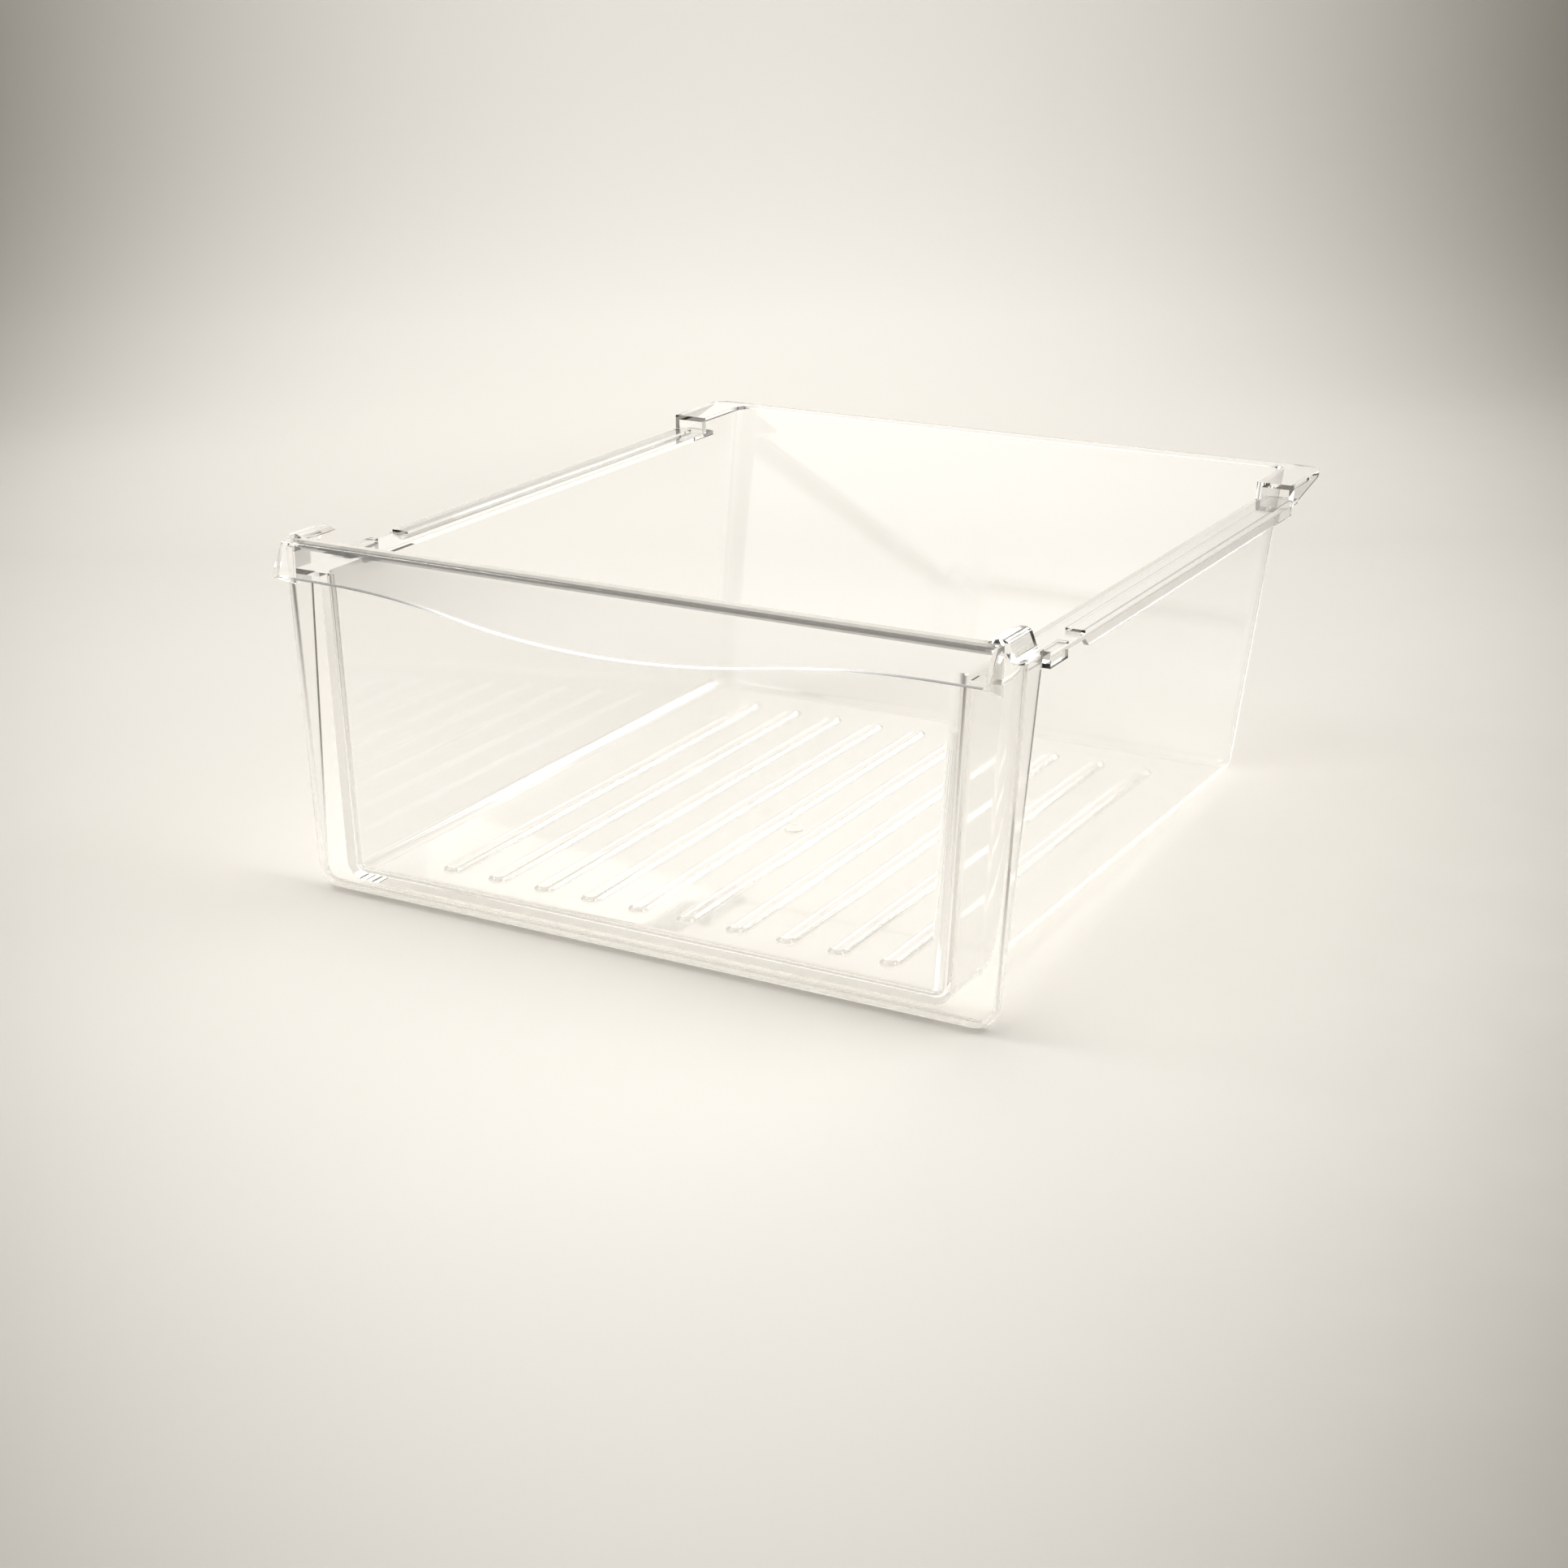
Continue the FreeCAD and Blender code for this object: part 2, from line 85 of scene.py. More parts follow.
class NodeSheet:
    """A node tree with short calls for adding and joining nodes."""

    def __init__(self, tree: bpy.types.NodeTree) -> None:
        """Wrap a node tree.

        Args:
            tree: The tree that receives the nodes.
        """
        self.tree = tree

    def add(self, kind: str, **settings: object) -> bpy.types.Node:
        """Add a node and set its properties.

        Args:
            kind: Blender's name of the node type.
            **settings: Properties of the node, such as its operation.

        Returns:
            The new node.
        """
        node = self.tree.nodes.new(kind)
        for name, value in settings.items():
            setattr(node, name, value)
        return node

    def join(self, source: bpy.types.NodeSocket, target: bpy.types.NodeSocket) -> None:
        """Link an output to an input.

        Args:
            source: The output.
            target: The input.
        """
        self.tree.links.new(source, target)

    def put(self, value: object, target: bpy.types.NodeSocket) -> None:
        """Link a socket to an input, or set the input to a plain value.

        Args:
            value: A socket, a number or a colour.
            target: The input.
        """
        if isinstance(value, bpy.types.NodeSocket):
            self.join(value, target)
        else:
            target.default_value = value

    def maths(self, operation: str, *values: object, clamp: bool = False) -> bpy.types.NodeSocket:
        """Add a Math node on sockets or numbers.

        Args:
            operation: The Math node's operation.
            *values: A socket or a number for each input, in order.
            clamp: Whether the result is kept from 0 to 1.

        Returns:
            The node's output.
        """
        node = self.add("ShaderNodeMath", operation=operation, use_clamp=clamp)
        for target, value in zip(node.inputs, values):
            self.put(value, target)
        return node.outputs[0]

    def spread(self, value: bpy.types.NodeSocket, old: Span, new: Span = FADE_IN) -> bpy.types.NodeSocket:
        """Map a value from one range to another, clamped.

        Args:
            value: The socket to map.
            old: The range that is read.
            new: The range that comes out.

        Returns:
            The mapped value's socket.
        """
        node = self.add("ShaderNodeMapRange", clamp=True)
        self.join(value, node.inputs["Value"])
        for name, number in zip(("From Min", "From Max", "To Min", "To Max"), old + new):
            node.inputs[name].default_value = number
        return node.outputs["Result"]

    def blend(self, first: object, second: object, share: bpy.types.NodeSocket) -> bpy.types.NodeSocket:
        """Mix two colours.

        Args:
            first: The socket or colour at share 0.
            second: The socket or colour at share 1.
            share: The share of the second colour.

        Returns:
            The mixed colour's socket.
        """
        node = self.add("ShaderNodeMix", data_type="RGBA")
        self.put(first, node.inputs["A"])
        self.put(second, node.inputs["B"])
        self.join(share, node.inputs["Factor"])
        return node.outputs["Result"]

    def split(self, vector: bpy.types.NodeSocket) -> bpy.types.NodeOutputs:
        """Take a vector apart.

        Args:
            vector: The vector's socket.

        Returns:
            The sockets named X, Y and Z.
        """
        node = self.add("ShaderNodeSeparateXYZ")
        self.join(vector, node.inputs["Vector"])
        return node.outputs


def new_material(name: str) -> Tuple[bpy.types.Material, NodeSheet]:
    """Make a material with an empty node tree.

    Args:
        name: The material's name.

    Returns:
        The material and the sheet of its nodes.
    """
    material = bpy.data.materials.new(name)
    material.use_nodes = True
    sheet = NodeSheet(material.node_tree)
    sheet.tree.nodes.clear()
    return material, sheet


def new_group(name: str, inputs: Dict[str, Tuple[Socket, object]],
              outputs: Dict[str, Socket]) -> Tuple[NodeSheet, bpy.types.Node, bpy.types.Node]:
    """Make an empty shader node group with named sockets.

    Args:
        name: The group's name.
        inputs: Kind and starting value of each input.
        outputs: Kind of each output.

    Returns:
        The group's sheet, its input node and its output node.
    """
    tree = bpy.data.node_groups.new(name, "ShaderNodeTree")
    for label, (kind, start) in inputs.items():
        socket = tree.interface.new_socket(label, in_out="INPUT", socket_type=kind.value)
        if start is not None:
            socket.default_value = start
    for label, kind in outputs.items():
        tree.interface.new_socket(label, in_out="OUTPUT", socket_type=kind.value)
    sheet = NodeSheet(tree)
    return sheet, sheet.add("NodeGroupInput"), sheet.add("NodeGroupOutput")


def mottle_group() -> bpy.types.NodeTree:
    """Build the broad and fine unevenness that the plastic and the floor share.

    Returns:
        The node group.
    """
    sheet, start, end = new_group(
        "Mottle",
        {
            "Vector": (Socket.VECTOR, None),
            "Broad Scale": (Socket.VALUE, 6.0),
            "Fine Scale": (Socket.VALUE, 60.0),
        },
        {"Broad": Socket.VALUE, "Fine": Socket.VALUE},
    )
    for label, detail in (("Broad", 2.0), ("Fine", 4.0)):
        noise = sheet.add("ShaderNodeTexNoise")
        noise.inputs["Detail"].default_value = detail
        sheet.join(start.outputs["Vector"], noise.inputs["Vector"])
        sheet.join(start.outputs[label + " Scale"], noise.inputs["Scale"])
        sheet.join(noise.outputs["Fac"], end.inputs[label])
    return sheet.tree


def scuff_group() -> bpy.types.NodeTree:
    """Build fine hairline scuffs that run in two directions and come in patches.

    Returns:
        The node group.
    """
    turns = (0.35, -0.9)
    tip = 0.4
    stretch = (1.0, 0.04, 0.3)
    line_detail = 3.0
    line_span = (0.62, 0.7)
    patch_scale = 9.0
    patch_span = (0.5, 0.68)

    sheet, start, end = new_group(
        "Scuffs",
        {"Vector": (Socket.VECTOR, None), "Scale": (Socket.VALUE, 40.0), "Amount": (Socket.VALUE, 0.5)},
        {"Mask": Socket.VALUE},
    )
    lines: List[bpy.types.NodeSocket] = []
    for turn in turns:
        mapping = sheet.add("ShaderNodeMapping")
        mapping.inputs["Rotation"].default_value = (tip * turn, turn, turn)
        mapping.inputs["Scale"].default_value = stretch
        noise = sheet.add("ShaderNodeTexNoise")
        noise.inputs["Detail"].default_value = line_detail
        sheet.join(start.outputs["Vector"], mapping.inputs["Vector"])
        sheet.join(mapping.outputs["Vector"], noise.inputs["Vector"])
        sheet.join(start.outputs["Scale"], noise.inputs["Scale"])
        lines.append(sheet.spread(noise.outputs["Fac"], line_span))
    patch = sheet.add("ShaderNodeTexNoise")
    patch.inputs["Scale"].default_value = patch_scale
    sheet.join(start.outputs["Vector"], patch.inputs["Vector"])
    patches = sheet.spread(patch.outputs["Fac"], patch_span)
    shown = sheet.maths("MULTIPLY", sheet.maths("MAXIMUM", *lines), patches)
    sheet.join(sheet.maths("MULTIPLY", shown, start.outputs["Amount"]), end.inputs["Mask"])
    return sheet.tree


@dataclass(frozen=True)
class ClearPlastic:
    """Glossy clear polystyrene with faint flow waves and hairline scuffs.

    A span of heights or reaches says where a zone of the moulding starts and where it is full.
    """

    name: str = "clear_polystyrene"
    refraction: float = 1.57
    clear: Colour = (0.998, 0.998, 0.996, 1.0)
    hazy: Colour = (0.99, 0.99, 0.985, 1.0)
    haze_span: Span = (0.45, 0.75)
    haze_share: Span = (0.0, 0.5)
    broad_scale: float = 14.0
    fine_scale: float = 160.0
    scuff_scale: float = 55.0
    scuff_amount: float = 0.6
    scuff_rough: float = 0.12
    polish_span: Span = (0.35, 0.7)
    polish: Span = (0.012, 0.05)
    wave_strength: float = 0.12
    wave_height: float = 0.0006

    # Tints of light that falls through to the floor: face on, at a glance, and through the panel's foot
    veil: Colour = (0.99, 0.99, 0.987, 1.0)
    edge_veil: Colour = (0.84, 0.83, 0.81, 1.0)
    glance_span: Span = (0.06, 0.5)
    foot_veil: Colour = (0.2, 0.19, 0.17, 1.0)
    foot_height: Span = (0.06, 0.01)
    foot_front: Span = (-0.16, -0.172)

    # Painted shade: a grey tint on the panel's bottom band, standing in for light lost there
    foot_painted_shade: Colour = (0.955, 0.95, 0.94, 1.0)
    foot_shade_band: Span = (0.014, 0.01)

    # Tints and depth of rays that count as trapped: in the walls, and in the lip, rear rim and rails,
    # where the dark tint is painted shade along the edges
    piped_low: Colour = (0.985, 0.983, 0.978, 1.0)
    piped_high: Colour = (0.25, 0.245, 0.235, 1.0)
    guided: Span = (4.5, 2.0)
    brim_height: Span = (0.161, 0.165)
    brim_reach: Span = (0.172, 0.178)
    brim_reach_share: Span = (0.15, 1.0)
    brim_end: Span = (0.17, 0.174)
    brim_end_share: Span = (1.0, 0.25)
    rail_height: Span = (0.145, 0.152)
    rail_side: Span = (0.1605, 0.163)
    rail_side_share: Span = (0.0, 0.9)
    rail_front: Span = (-0.16, -0.14)

    def foot(self, sheet: NodeSheet, parts: bpy.types.NodeOutputs, height: Span) -> bpy.types.NodeSocket:
        """Mark the bottom of the front panel.

        Args:
            sheet: The material's nodes.
            parts: Object coordinates, taken apart.
            height: Where the mark starts and where it is full.

        Returns:
            The mark, from 0 to 1.
        """
        low = sheet.spread(parts["Z"], height)
        return sheet.maths("MULTIPLY", low, sheet.spread(parts["Y"], self.foot_front))

    def rim(self, sheet: NodeSheet, parts: bpy.types.NodeOutputs) -> bpy.types.NodeSocket:
        """Mark the top of the lip and of the rear rim, and the side rails, where trapped rays get painted
        dark edge lines.

        Args:
            sheet: The material's nodes.
            parts: Object coordinates, taken apart.

        Returns:
            The mark, from 0 to 1.
        """
        across = sheet.maths("ABSOLUTE", parts["X"])
        along = sheet.maths("ABSOLUTE", parts["Y"])
        ends = sheet.spread(along, self.brim_reach, self.brim_reach_share)
        middle = sheet.spread(across, self.brim_end, self.brim_end_share)
        edge = sheet.maths("MULTIPLY", ends, middle)
        brim = sheet.maths("MULTIPLY", sheet.spread(parts["Z"], self.brim_height), edge)
        side = sheet.spread(across, self.rail_side, self.rail_side_share)
        ledge = sheet.maths("MULTIPLY", sheet.spread(parts["Z"], self.rail_height), side)
        rail = sheet.maths("MULTIPLY", ledge, sheet.spread(parts["Y"], self.rail_front))
        return sheet.maths("MAXIMUM", brim, rail)

    def surface(self, sheet: NodeSheet, place: bpy.types.NodeSocket, band: bpy.types.NodeSocket,
                mottle: bpy.types.NodeTree, scuffs: bpy.types.NodeTree) -> bpy.types.NodeSocket:
        """Build the glossy plastic that bends and mirrors light.

        Args:
            sheet: The material's nodes.
            place: Object coordinates.
            band: Mark of the panel's bottom band, which gets painted shade.
            mottle: The shared unevenness group.
            scuffs: The shared scuff group.

        Returns:
            The shader's socket.
        """
        uneven = sheet.add("ShaderNodeGroup", node_tree=mottle)
        uneven.inputs["Broad Scale"].default_value = self.broad_scale
        uneven.inputs["Fine Scale"].default_value = self.fine_scale
        sheet.join(place, uneven.inputs["Vector"])
        marks = sheet.add("ShaderNodeGroup", node_tree=scuffs)
        marks.inputs["Scale"].default_value = self.scuff_scale
        marks.inputs["Amount"].default_value = self.scuff_amount
        sheet.join(place, marks.inputs["Vector"])

        haze = sheet.spread(uneven.outputs["Fine"], self.haze_span, self.haze_share)
        tint = sheet.blend(self.clear, self.hazy, sheet.maths("MAXIMUM", haze, marks.outputs["Mask"]))
        polish = sheet.spread(uneven.outputs["Broad"], self.polish_span, self.polish)
        rough = sheet.maths("MULTIPLY_ADD", marks.outputs["Mask"], self.scuff_rough, polish)
        wave = sheet.add("ShaderNodeBump")
        wave.inputs["Strength"].default_value = self.wave_strength
        wave.inputs["Distance"].default_value = self.wave_height
        sheet.join(uneven.outputs["Broad"], wave.inputs["Height"])

        plastic = sheet.add("ShaderNodeBsdfPrincipled")
        plastic.inputs["IOR"].default_value = self.refraction
        plastic.inputs["Transmission Weight"].default_value = 1.0
        # Painted shade: the panel's bottom band is greyed
        sheet.join(sheet.blend(tint, self.foot_painted_shade, band), plastic.inputs["Base Color"])
        sheet.join(rough, plastic.inputs["Roughness"])
        sheet.join(wave.outputs["Normal"], plastic.inputs["Normal"])
        return plastic.outputs["BSDF"]

    def material(self, mottle: bpy.types.NodeTree, scuffs: bpy.types.NodeTree) -> bpy.types.Material:
        """Build the material, in which shadow rays and trapped rays pass straight on with a tint.

        Args:
            mottle: The shared unevenness group.
            scuffs: The shared scuff group.

        Returns:
            The clear plastic material.
        """
        material, sheet = new_material(self.name)
        place = sheet.add("ShaderNodeTexCoord").outputs["Object"]
        parts = sheet.split(place)
        rim = self.rim(sheet, parts)
        rays = sheet.add("ShaderNodeLightPath").outputs
        shadow = rays["Is Shadow Ray"]
        trapped = sheet.maths("GREATER_THAN", rays["Ray Depth"], sheet.spread(rim, FADE_IN, self.guided))

        glance = sheet.add("ShaderNodeFresnel")
        glance.inputs["IOR"].default_value = self.refraction
        slant = sheet.spread(glance.outputs["Fac"], self.glance_span)
        shade = sheet.blend(self.veil, self.edge_veil, slant)
        shade = sheet.blend(shade, self.foot_veil, self.foot(sheet, parts, self.foot_height))
        # Painted shade: trapped rays darken in the lip top, rear rim and rails
        piped = sheet.blend(self.piped_low, self.piped_high, rim)
        passing = sheet.add("ShaderNodeBsdfTransparent")
        seen = sheet.maths("SUBTRACT", trapped, shadow, clamp=True)
        sheet.join(sheet.blend(shade, piped, seen), passing.inputs["Color"])

        # Mark of the bottom band that gets painted shade
        band = self.foot(sheet, parts, self.foot_shade_band)
        either = sheet.add("ShaderNodeMixShader")
        sheet.join(sheet.maths("MAXIMUM", trapped, shadow), either.inputs[0])
        sheet.join(self.surface(sheet, place, band, mottle, scuffs), either.inputs[1])
        sheet.join(passing.outputs["BSDF"], either.inputs[2])
        sheet.join(either.outputs["Shader"], sheet.add("ShaderNodeOutputMaterial").inputs["Surface"])
        return material


@dataclass
class DrawerPan:
    """The one-piece moulding: panel, lip, box, rails, wings and floor ridges."""

    sharp: float = math.radians(38.0)
    flat: float = math.radians(0.4)
    weld: float = 0.000002
    edge_round: float = 0.00035
    edge_steps: int = 2
    face_weight: int = 80
    ridge_top: float = 0.01265
    ridge_slack: float = 0.0001
    ridge_reach: float = 0.122
    ridge_round: float = 0.0019
    ridge_steps: int = 4

    def round_ridges(self, work: bmesh.types.BMesh) -> None:
        """Round the tops of the floor ridges over to their flanks.

        Args:
            work: The moulding's mesh.
        """
        tops = []
        for edge in work.edges:
            level = all(abs(vert.co.z - self.ridge_top) < self.ridge_slack for vert in edge.verts)
            inside = all(abs(vert.co.x) < self.ridge_reach for vert in edge.verts)
            if level and inside and edge.is_manifold and edge.calc_face_angle() > self.sharp:
                tops.append(edge)
        bmesh.ops.bevel(
            work, geom=tops, offset=self.ridge_round, offset_type="OFFSET", affect="EDGES",
            segments=self.ridge_steps, profile=0.5, clamp_overlap=True, material=-1,
        )
        LOG.info("ridge edges rounded: %d", len(tops))

    def shell(self, node: bpy.types.Object) -> bpy.types.Object:
        """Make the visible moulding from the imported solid, with its edges eased.

        Args:
            node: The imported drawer.

        Returns:
            The finished piece, without a material.
        """
        work = bmesh.new()
        work.from_mesh(node.data)
        bmesh.ops.remove_doubles(work, verts=work.verts, dist=self.weld)
        bmesh.ops.dissolve_limit(
            work, angle_limit=self.flat, verts=work.verts, edges=work.edges, delimit={"NORMAL"},
        )
        self.round_ridges(work)
        for face in work.faces:
            face.smooth = True
        for edge in work.edges:
            edge.smooth = edge.is_manifold and edge.calc_face_angle() < self.sharp
        mesh = bpy.data.meshes.new("drawer_moulding")
        work.to_mesh(mesh)
        work.free()
        piece = bpy.data.objects.new("drawer_moulding", mesh)
        bpy.context.scene.collection.objects.link(piece)

        ease = piece.modifiers.new("eased edges", "BEVEL")
        ease.width = self.edge_round
        ease.segments = self.edge_steps
        ease.limit_method = "ANGLE"
        ease.angle_limit = self.sharp
        ease.use_clamp_overlap = True
        ease.harden_normals = False
        level = piece.modifiers.new("flat faces stay flat", "WEIGHTED_NORMAL")
        level.mode = "FACE_AREA"
        level.weight = self.face_weight
        level.keep_sharp = True
        return piece

    def dress(self, piece: bpy.types.Object, finish: bpy.types.Material) -> None:
        """Give the moulding its finish and its place in the frame.

        Args:
            piece: The moulding.
            finish: The clear plastic.
        """
        piece.data.materials.clear()
        piece.data.materials.append(finish)
        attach(piece, "root")
        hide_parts(NODE)


@dataclass
class StudioFloor:
    """A pale floor, swept up behind, that carries the drawer by its panel's edge and its rear bottom edge.

    The two edges are given by Y and Z. The floor is tilted to touch both.
    """

    wide: float = 7.0
    near: float = -4.0
    bend_start: float = 0.9
    bend_radius: float = 0.6
    bend_steps: int = 24
    high: float = 1.6
    front_edge: Span = (-0.175, 0.0)
    rear_edge: Span = (0.1547, 0.00865)
    gap: float = 0.0002

    # Painted pool of light: the floor's paint in the pool, and the painted dark outside it
    bright: Colour = (0.985, 0.956, 0.903, 1.0)
    painted_falloff: Colour = (0.1, 0.083, 0.055, 1.0)
    broad_scale: float = 2.5
    fine_scale: float = 30.0
    grain_span: Span = (0.3, 0.7)
    grain: Span = (-0.01, 0.01)
    matt: Span = (0.5, 0.65)
    sheen: float = 0.1
    pool_place: Span = (-0.048, 0.336)
    pool_size: Span = (0.549, 1.19)
    pool_fan: float = 0.461
    pool_lift: float = -0.768
    pool_edge: float = 2.32

    # Glow that is only seen: on the swept back, and through the plastic
    glow: float = 0.31
    glow_start: Span = (0.5, 1.1)
    glow_through: float = 0.1

    def build(self, sight: float) -> bpy.types.Object:
        """Make the floor and its swept back.

        Args:
            sight: Turn of the sweep about Z, in radians.

        Returns:
            The floor.
        """
        work = bmesh.new()
        ends = [work.verts.new((side * self.wide / 2, self.near, 0.0)) for side in (-1.0, 1.0)]
        edge = work.edges.new(ends)
        flat = bmesh.ops.extrude_edge_only(work, edges=[edge])["geom"]
        moved = [part for part in flat if isinstance(part, bmesh.types.BMVert)]
        bmesh.ops.translate(work, verts=moved, vec=(0.0, self.bend_start - self.near, 0.0))
        rim = [part for part in work.edges if all(vert in moved for vert in part.verts)]
        bend = bmesh.ops.spin(
            work, geom=rim, cent=(0.0, self.bend_start, self.bend_radius), axis=(1.0, 0.0, 0.0),
            angle=math.radians(90.0), steps=self.bend_steps, use_merge=False, use_duplicate=False,
        )["geom_last"]
        top = [part for part in bend if isinstance(part, bmesh.types.BMEdge)]
        wall = bmesh.ops.extrude_edge_only(work, edges=top)["geom"]
        raised = [part for part in wall if isinstance(part, bmesh.types.BMVert)]
        bmesh.ops.translate(work, verts=raised, vec=(0.0, 0.0, self.high))
        bmesh.ops.recalc_face_normals(work, faces=work.faces)
        for face in work.faces:
            face.smooth = True

        run = self.rear_edge[0] - self.front_edge[0]
        rise = self.rear_edge[1] - self.front_edge[1]
        turn = Matrix.Rotation(math.atan2(rise, run), 3, "X") @ Matrix.Rotation(sight, 3, "Z")
        bmesh.ops.rotate(work, verts=work.verts, cent=(0.0, 0.0, 0.0), matrix=turn)
        drop = self.front_edge[1] - self.front_edge[0] * rise / run
        bmesh.ops.translate(work, verts=work.verts, vec=(0.0, 0.0, drop - self.gap))
        mesh = bpy.data.meshes.new("studio_floor")
        work.to_mesh(mesh)
        work.free()
        floor = bpy.data.objects.new("studio_floor", mesh)
        bpy.context.scene.collection.objects.link(floor)
        return floor

    def pool(self, sheet: NodeSheet, place: bpy.types.NodeSocket,
             sight: float) -> Tuple[bpy.types.NodeSocket, bpy.types.NodeSocket]:
        """Work out the painted pool of light round the drawer, a fall-off put into the floor's colour
        rather than made by the lamps.

        Args:
            sheet: The floor material's nodes.
            place: Object coordinates.
            sight: Turn of the sweep about Z, in radians.

        Returns:
            Painted brightness, 1 in the pool and falling to 0 outside it, and its glow on the swept back.
        """
        mapping = sheet.add("ShaderNodeMapping", vector_type="TEXTURE")
        mapping.inputs["Rotation"].default_value = (0.0, 0.0, sight)
        sheet.join(place, mapping.inputs["Vector"])
        parts = sheet.split(mapping.outputs["Vector"])
        fan = sheet.maths("MULTIPLY_ADD", parts["Y"], self.pool_fan, 1.0)
        across = sheet.maths("SUBTRACT", parts["X"], self.pool_place[0])
        across = sheet.maths("DIVIDE", across, sheet.maths("MULTIPLY", fan, self.pool_size[0]))
        along = sheet.maths("MULTIPLY_ADD", parts["Z"], self.pool_lift, parts["Y"])
        along = sheet.maths("SUBTRACT", along, self.pool_place[1])
        along = sheet.maths("DIVIDE", along, self.pool_size[1])
        squares = [sheet.maths("MULTIPLY", away, away) for away in (across, along)]
        power = sheet.maths("POWER", sheet.maths("ADD", *squares), self.pool_edge)
        pool = sheet.maths("EXPONENT", sheet.maths("MULTIPLY", power, -1.0))
        rear = sheet.spread(parts["Y"], self.glow_start, (0.0, self.glow))
        return pool, sheet.maths("MULTIPLY", pool, rear)

    def material(self, mottle: bpy.types.NodeTree, sight: float) -> bpy.types.Material:
        """Build the floor's pale paint, with a painted pool of light that dims away from the drawer.

        Args:
            mottle: The shared unevenness group.
            sight: Turn of the sweep about Z, in radians.

        Returns:
            The floor's material.
        """
        material, sheet = new_material("pale_floor")
        place = sheet.add("ShaderNodeTexCoord").outputs["Object"]
        uneven = sheet.add("ShaderNodeGroup", node_tree=mottle)
        uneven.inputs["Broad Scale"].default_value = self.broad_scale
        uneven.inputs["Fine Scale"].default_value = self.fine_scale
        sheet.join(place, uneven.inputs["Vector"])
        grain = sheet.spread(uneven.outputs["Broad"], self.grain_span, self.grain)
        matt = sheet.spread(uneven.outputs["Fine"], self.grain_span, self.matt)
        pool, rear = self.pool(sheet, place, sight)
        paint = sheet.add("ShaderNodeBsdfPrincipled")
        paint.inputs["Specular IOR Level"].default_value = self.sheen
        # Painted pool of light: the colour falls from the pale paint to painted dark away from the drawer
        shade = sheet.blend(self.painted_falloff, self.bright, sheet.maths("ADD", pool, grain))
        sheet.join(shade, paint.inputs["Base Color"])
        sheet.join(matt, paint.inputs["Roughness"])

        rays = sheet.add("ShaderNodeLightPath").outputs
        clear = sheet.maths("MAXIMUM", rays["Is Glossy Ray"], rays["Is Transmission Ray"])
        seen = sheet.maths("MAXIMUM", rays["Is Camera Ray"], clear)
        through = sheet.maths("MULTIPLY", rays["Is Transmission Ray"], self.glow_through)
        below = sheet.maths("MULTIPLY", pool, through)
        glow = sheet.add("ShaderNodeEmission")
        glow.inputs["Color"].default_value = self.bright
        sheet.join(sheet.maths("MULTIPLY_ADD", rear, seen, below), glow.inputs["Strength"])
        both = sheet.add("ShaderNodeAddShader")
        sheet.join(paint.outputs["BSDF"], both.inputs[0])
        sheet.join(glow.outputs["Emission"], both.inputs[1])
        sheet.join(both.outputs["Shader"], sheet.add("ShaderNodeOutputMaterial").inputs["Surface"])
        return material


@dataclass(frozen=True)
class SoftBox:
    """One rectangular soft light, with its power in watts."""

    name: str
    place: Point
    aim: Point
    size: Span
    power: float
    lights_floor: bool = True
    seen_by_camera: bool = True
    colour: Tuple[float, float, float] = (1.0, 0.985, 0.955)

    def build(self) -> bpy.types.Object:
        """Make the light.

        Returns:
            The light's object.
        """
        lamp = bpy.data.lights.new(self.name, "AREA")
        lamp.shape = "RECTANGLE"
        lamp.size, lamp.size_y = self.size
        lamp.energy = self.power
        lamp.color = self.colour
        light = bpy.data.objects.new(self.name, lamp)
        light.visible_diffuse = self.lights_floor
        light.visible_camera = self.seen_by_camera
        light.location = self.place
        towards = Vector(self.aim) - Vector(self.place)
        light.rotation_euler = towards.to_track_quat("-Z", "Y").to_euler()
        bpy.context.scene.collection.objects.link(light)
        return light


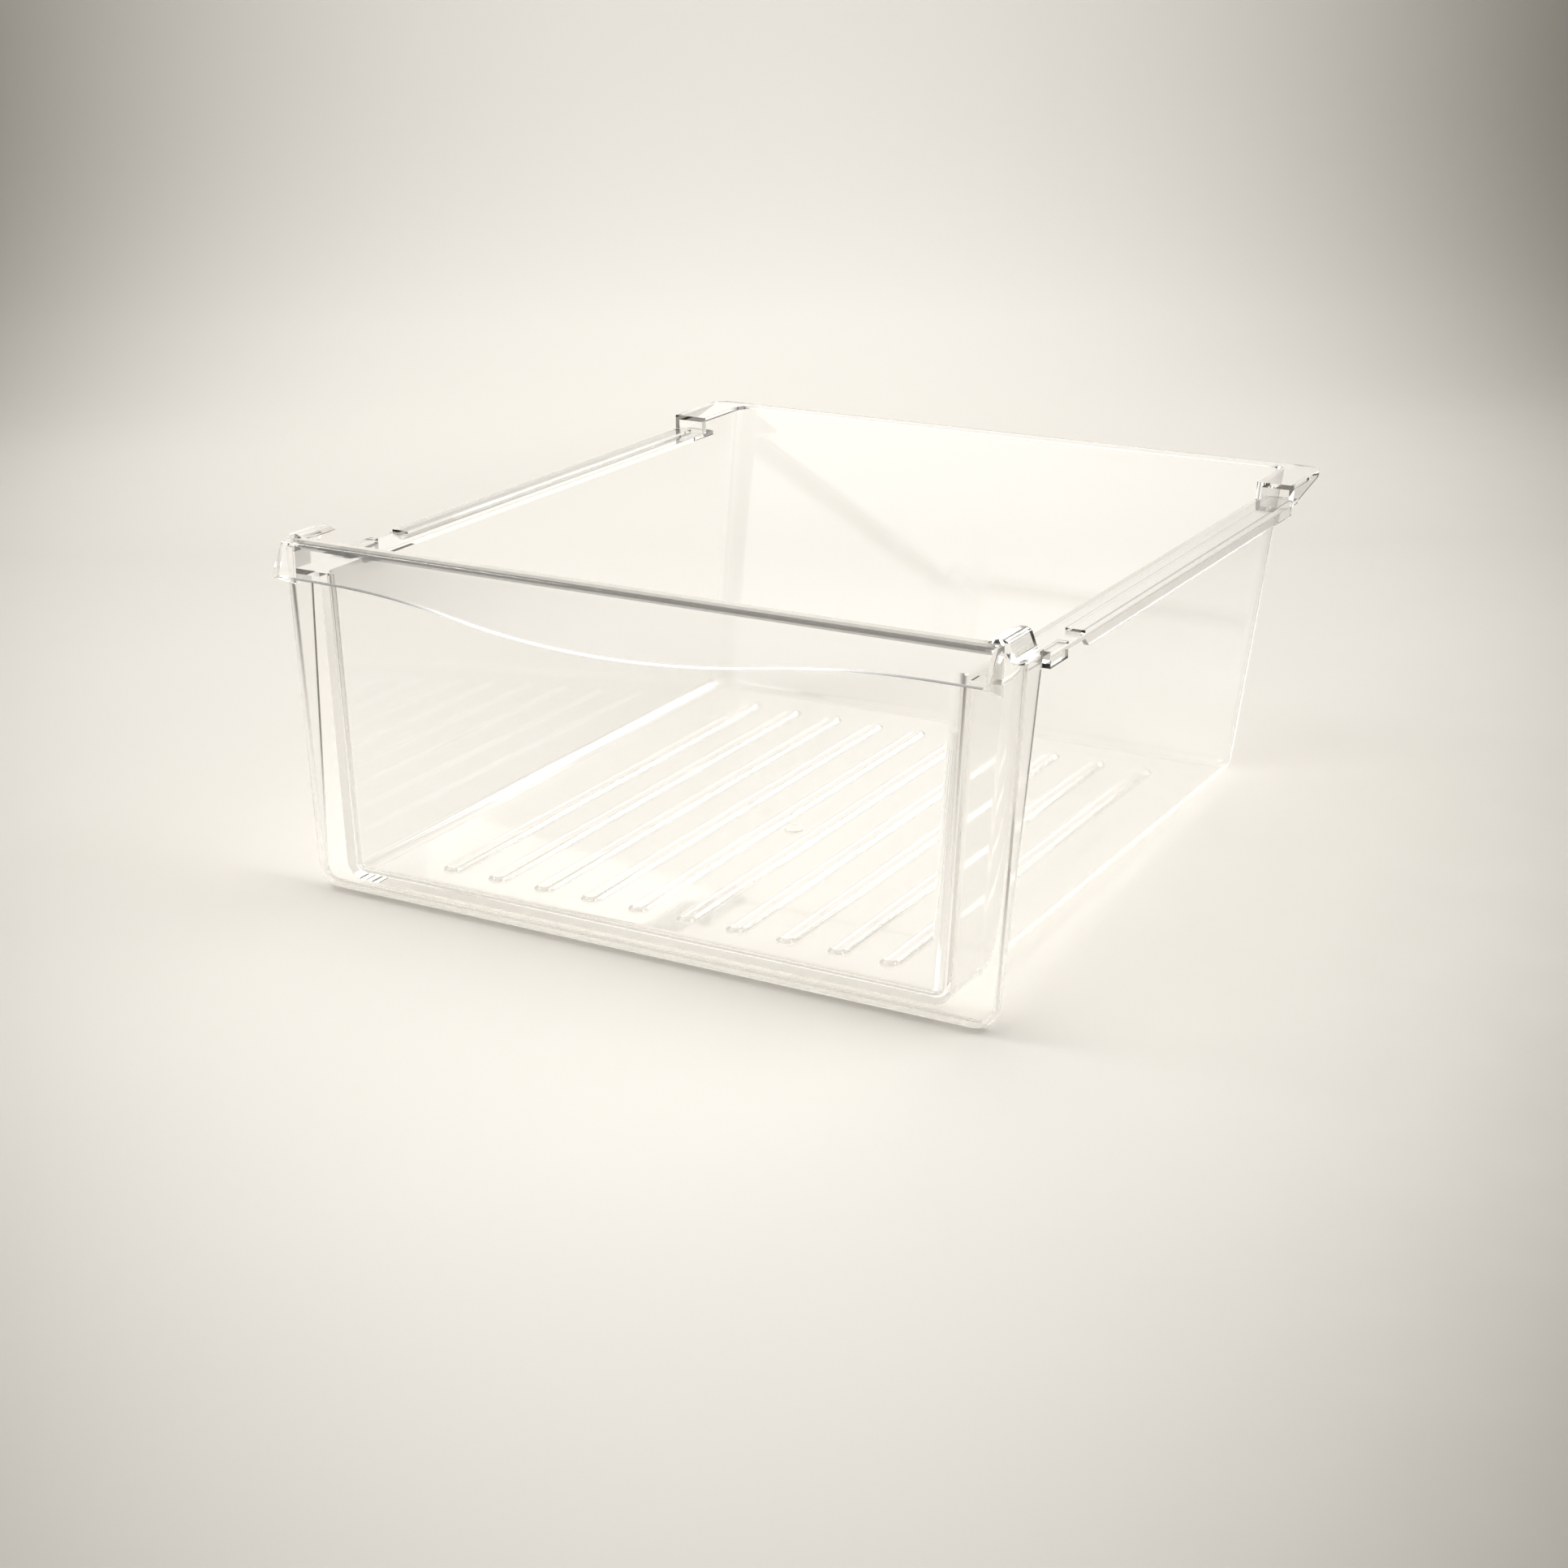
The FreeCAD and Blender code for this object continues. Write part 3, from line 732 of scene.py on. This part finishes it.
@dataclass
class Studio:
    """The soft lights and the pale surroundings, with the dark of the room behind the camera."""

    sky: Colour = (1.0, 0.99, 0.97, 1.0)
    room: Colour = (0.12, 0.115, 0.105, 1.0)
    strength: float = 1.29
    dark_side: Point = (0.6, -0.62, 0.5)
    dark_span: Span = (0.45, 0.75)

    def surroundings(self) -> None:
        """Light the scene from all round, except from the dark side of the room."""
        world = bpy.data.worlds.new("studio")
        world.use_nodes = True
        sheet = NodeSheet(world.node_tree)
        sheet.tree.nodes.clear()
        way = sheet.add("ShaderNodeTexCoord").outputs["Generated"]
        facing = sheet.add("ShaderNodeVectorMath", operation="DOT_PRODUCT")
        facing.inputs[1].default_value = self.dark_side
        sheet.join(way, facing.inputs[0])
        dark = sheet.spread(facing.outputs["Value"], self.dark_span)
        glow = sheet.add("ShaderNodeBackground")
        glow.inputs["Strength"].default_value = self.strength
        sheet.join(sheet.blend(self.sky, self.room, dark), glow.inputs["Color"])
        sheet.join(glow.outputs["Background"], sheet.add("ShaderNodeOutputWorld").inputs["Surface"])
        bpy.context.scene.world = world

    def lights(self) -> List[bpy.types.Object]:
        """Hang the soft boxes.

        Returns:
            The lights.
        """
        beside = (0.0, 0.2, 0.05)
        centre = (0.0, 0.0, 0.0)
        boxes = [
            SoftBox("left", (-1.5, -0.4, 1.9), beside, (0.6, 0.6), 10.5),
            SoftBox("right", (1.4, 0.1, 1.9), beside, (0.6, 0.6), 8.5),
            SoftBox("rear_high", (0.1, 1.25, 0.85), centre, (0.6, 0.4), 4.0, lights_floor=False),
            SoftBox("rear_right", (0.6, 1.3, 0.66), (0.05, 0.0, 0.0), (0.4, 0.4), 3.0, lights_floor=False),
            SoftBox("rear_window", (-0.41, 0.745, 0.4), centre, (1.3, 0.66), 1.0, lights_floor=False,
                    seen_by_camera=False),
        ]
        return [box.build() for box in boxes]


@dataclass
class StudioCamera:
    """The camera of the photograph, given by its place and by its angles in degrees."""

    lens: float = 61.61
    sensor: float = 36.0
    far: float = 100.0
    azimuth: float = 28.867
    elevation: float = 19.548
    roll: float = -0.010
    place: Point = (0.58605, -1.10534, 0.46861)

    def build(self) -> bpy.types.Object:
        """Make the camera and give it to the scene.

        Returns:
            The camera's object.
        """
        turn, rise, roll = (math.radians(angle) for angle in (self.azimuth, self.elevation, self.roll))
        back = Vector((math.sin(turn) * math.cos(rise), -math.cos(turn) * math.cos(rise), math.sin(rise)))
        level = Vector((math.cos(turn), math.sin(turn), 0.0))
        upright = back.cross(level)
        right = level * math.cos(roll) + upright * math.sin(roll)
        up = upright * math.cos(roll) - level * math.sin(roll)
        data = bpy.data.cameras.new("studio_camera")
        data.lens = self.lens
        data.sensor_width = self.sensor
        data.clip_end = self.far
        camera = bpy.data.objects.new("studio_camera", data)
        frame = Matrix((right, up, back)).transposed().to_4x4()
        camera.matrix_world = Matrix.Translation(self.place) @ frame
        bpy.context.scene.collection.objects.link(camera)
        bpy.context.scene.camera = camera
        return camera


def main() -> None:
    """Build the drawer, its studio and its camera."""
    logging.basicConfig(level=logging.INFO, format="%(name)s: %(message)s")
    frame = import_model()
    mottle, scuffs = mottle_group(), scuff_group()

    pan = DrawerPan()
    moulding = pan.shell(frame["nodes"][NODE])
    pan.dress(moulding, ClearPlastic().material(mottle, scuffs))
    LOG.info("moulding: %d faces", len(moulding.data.polygons))

    camera = StudioCamera()
    ground = StudioFloor()
    sight = math.radians(camera.azimuth)
    floor = ground.build(sight)
    floor.data.materials.append(ground.material(mottle, sight))
    LOG.info("floor: %.1f m across", ground.wide)

    studio = Studio()
    studio.surroundings()
    LOG.info("lights: %d", len(studio.lights()))
    camera.build()
    bpy.context.scene.view_settings.view_transform = "Standard"


if __name__ == "__main__":
    main()
